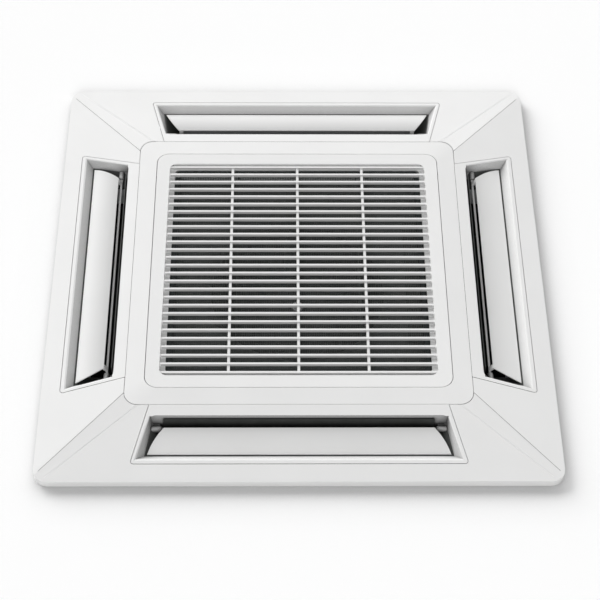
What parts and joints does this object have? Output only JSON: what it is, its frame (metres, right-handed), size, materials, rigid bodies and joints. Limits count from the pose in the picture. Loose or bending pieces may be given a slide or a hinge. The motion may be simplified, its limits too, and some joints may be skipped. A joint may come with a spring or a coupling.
{
  "type": "ceiling cassette air conditioner",
  "caption": "Square ceiling air conditioner indoor unit with a hinged slatted intake grille, swinging louvres on every side and a fan, coil and drain pan above.",
  "frame": {"origin": "centre of the casing top plate's outer face, on the fan's axis; the unit lies on this plate with its panel up", "axes": "+Z along the fan's axis, out of the panel's face into the room; -Y towards the grille's opening edge; +X to the right seen with the face up and -Y towards the viewer"},
  "size_m": [0.95, 0.95, 0.2676],
  "materials": {
    "panel_plastic": "fine matt moulding",
    "surround_plastic": "fine matt moulding",
    "outlet_plastic": "fine matt moulding",
    "louvre_plastic": "smooth satin moulding",
    "grille_plastic": "fine matt moulding",
    "steel_pin": "bright drawn steel",
    "filter_plastic": "moulded",
    "filter_weave": "woven net",
    "latch_plastic": "moulded",
    "plunger_plastic": "moulded",
    "stepper_metal": "plated sheet",
    "galvanised_sheet": "galvanised",
    "box_paint": "black painted sheet",
    "duct_foam": "soft dark foam",
    "lining_foam": "closed-cell foam",
    "pan_foam": "moulded bead foam",
    "seal_foam": "soft foam",
    "fin_aluminium": "finned block",
    "copper": "bare copper tube",
    "nut_brass": "turned",
    "fan_plastic": "moulded",
    "motor_paint": "painted",
    "grommet_rubber": "moulded",
    "inlet_plastic": "moulded",
    "board_green": "coated board",
    "terminal_plastic": "moulded",
    "pump_plastic": "moulded",
    "float_foam": "foam",
    "drain_plastic": "moulded",
    "hose_rubber": "soft hose"
  },
  "bodies": {
    "chassis": {"panel_frame": "panel_plastic", "surround_ring": "surround_plastic", "outlet_frame_front": "outlet_plastic", "outlet_frame_right": "outlet_plastic", "outlet_frame_back": "outlet_plastic", "outlet_frame_left": "outlet_plastic", "panel_screws": "steel_pin", "latch_housing_left": "latch_plastic", "latch_housing_right": "latch_plastic", "louvre_motor_front": "stepper_metal", "louvre_motor_right": "stepper_metal", "louvre_motor_back": "stepper_metal", "louvre_motor_left": "stepper_metal", "casing": "galvanised_sheet", "casing_top_plate": "galvanised_sheet", "hanger_brackets": "galvanised_sheet", "coil_end_plates": "galvanised_sheet", "coil_partition": "galvanised_sheet", "motor_mount": "galvanised_sheet", "pump_bracket": "galvanised_sheet", "control_box": "box_paint", "control_box_lid": "box_paint", "duct_linings": "duct_foam", "insulation_liner": "lining_foam", "drain_pan": "pan_foam", "panel_seals": "seal_foam", "coil": "fin_aluminium", "gas_pipe": "copper", "liquid_pipe": "copper", "return_bends": "copper", "gas_flare_nut": "nut_brass", "liquid_flare_nut": "nut_brass", "gas_union": "nut_brass", "liquid_union": "nut_brass", "fan_motor": "motor_paint", "motor_grommets": "grommet_rubber", "bell_mouth": "inlet_plastic", "circuit_board": "board_green", "terminal_block": "terminal_plastic", "drain_pump": "pump_plastic", "float_stem": "pump_plastic", "drain_socket": "drain_plastic", "drain_riser": "hose_rubber"},
    "louvre_front": {"louvre_front": "louvre_plastic"},
    "louvre_right": {"louvre_right": "louvre_plastic"},
    "louvre_back": {"louvre_back": "louvre_plastic"},
    "louvre_left": {"louvre_left": "louvre_plastic"},
    "grille": {"intake_grille": "grille_plastic", "grille_hinge_pins": "steel_pin", "filter_frame": "filter_plastic", "filter_net": "filter_weave"},
    "fan": {"fan_hub": "fan_plastic", "fan_shroud": "fan_plastic", "motor_shaft": "steel_pin", "fan_nut": "steel_pin"},
    "latch_left": {"latch_plunger_left": "plunger_plastic"},
    "latch_right": {"latch_plunger_right": "plunger_plastic"},
    "float": {"float_ring": "float_foam"}
  },
  "joints": [
    {"name": "louvre_front_swing", "type": "hinge", "parent": "chassis", "child": "louvre_front", "pos_m": [0, -0.3582, 0.2404], "axis": [-1, 0, 0], "range_deg": [0, 60]},
    {"name": "louvre_right_swing", "type": "hinge", "parent": "chassis", "child": "louvre_right", "pos_m": [0.3582, 0, 0.2404], "axis": [0, -1, 0], "range_deg": [0, 60]},
    {"name": "louvre_back_swing", "type": "hinge", "parent": "chassis", "child": "louvre_back", "pos_m": [0, 0.3582, 0.2404], "axis": [1, 0, 0], "range_deg": [0, 60]},
    {"name": "louvre_left_swing", "type": "hinge", "parent": "chassis", "child": "louvre_left", "pos_m": [-0.3582, 0, 0.2404], "axis": [0, 1, 0], "range_deg": [0, 60]},
    {"name": "grille_hinge", "type": "hinge", "parent": "chassis", "child": "grille", "pos_m": [0, 0.2628, 0.2622], "axis": [-1, 0, 0], "range_deg": [0, 90]},
    {"name": "fan_spin", "type": "hinge", "parent": "chassis", "child": "fan", "pos_m": [0, 0, 0.09], "axis": [0, 0, 1], "continuous": true},
    {"name": "latch_left_press", "type": "slide", "parent": "chassis", "child": "latch_left", "axis": [0, 0, 1], "range_m": [-0.003, 0], "stiffness_N_per_m": 400, "springref_m": 0.002},
    {"name": "latch_right_press", "type": "slide", "parent": "chassis", "child": "latch_right", "axis": [0, 0, 1], "range_m": [-0.003, 0], "stiffness_N_per_m": 400, "springref_m": 0.002},
    {"name": "float_slide", "type": "slide", "parent": "chassis", "child": "float", "axis": [0, 0, 1], "range_m": [-0.012, 0]}
  ]
}
